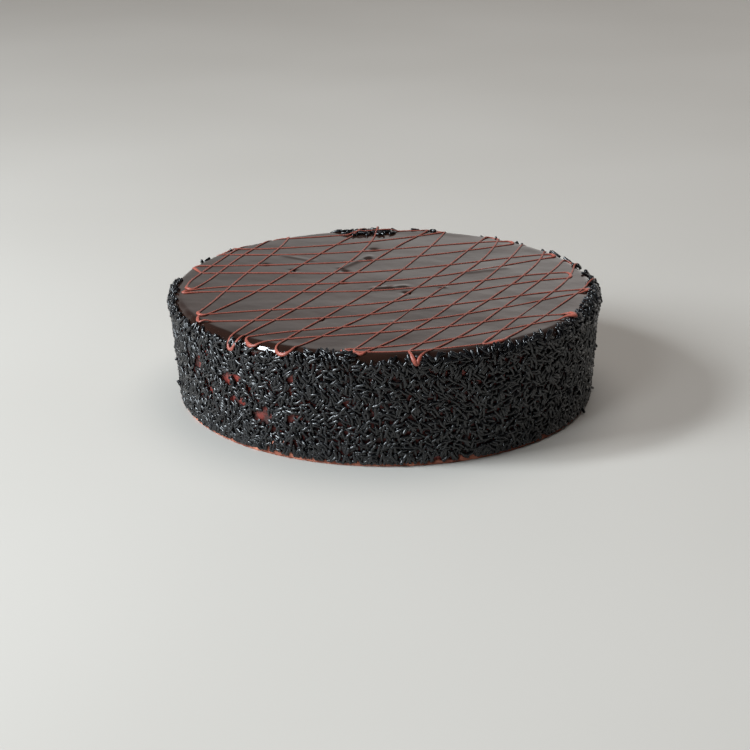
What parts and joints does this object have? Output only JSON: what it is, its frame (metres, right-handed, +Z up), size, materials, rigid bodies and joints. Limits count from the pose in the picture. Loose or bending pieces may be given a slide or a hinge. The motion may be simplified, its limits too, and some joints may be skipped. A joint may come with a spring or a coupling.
{
  "type": "sachertorte cake",
  "caption": "Whole low round sachertorte with a dark poured chocolate glaze, zig-zag chocolate drizzle over the top and chocolate vermicelli round the side.",
  "frame": {"origin": "middle of the cake's foot, on the surface it stands on, under the centre of its bounding box", "axes": "+Z up through the cake, -Y towards the viewer of the picture, +X to the viewer's right"},
  "size_m": [0.2033, 0.2002, 0.0524],
  "materials": {
    "dark_glaze": "poured dark chocolate glaze, mirror glossy, almost black-brown",
    "milk_drizzle": "thin set milk chocolate lines, satin",
    "dark_vermicelli": "near-black chocolate vermicelli, semi-gloss rods"
  },
  "bodies": {
    "root": {"cake": "dark_glaze"}
  },
  "joints": []
}
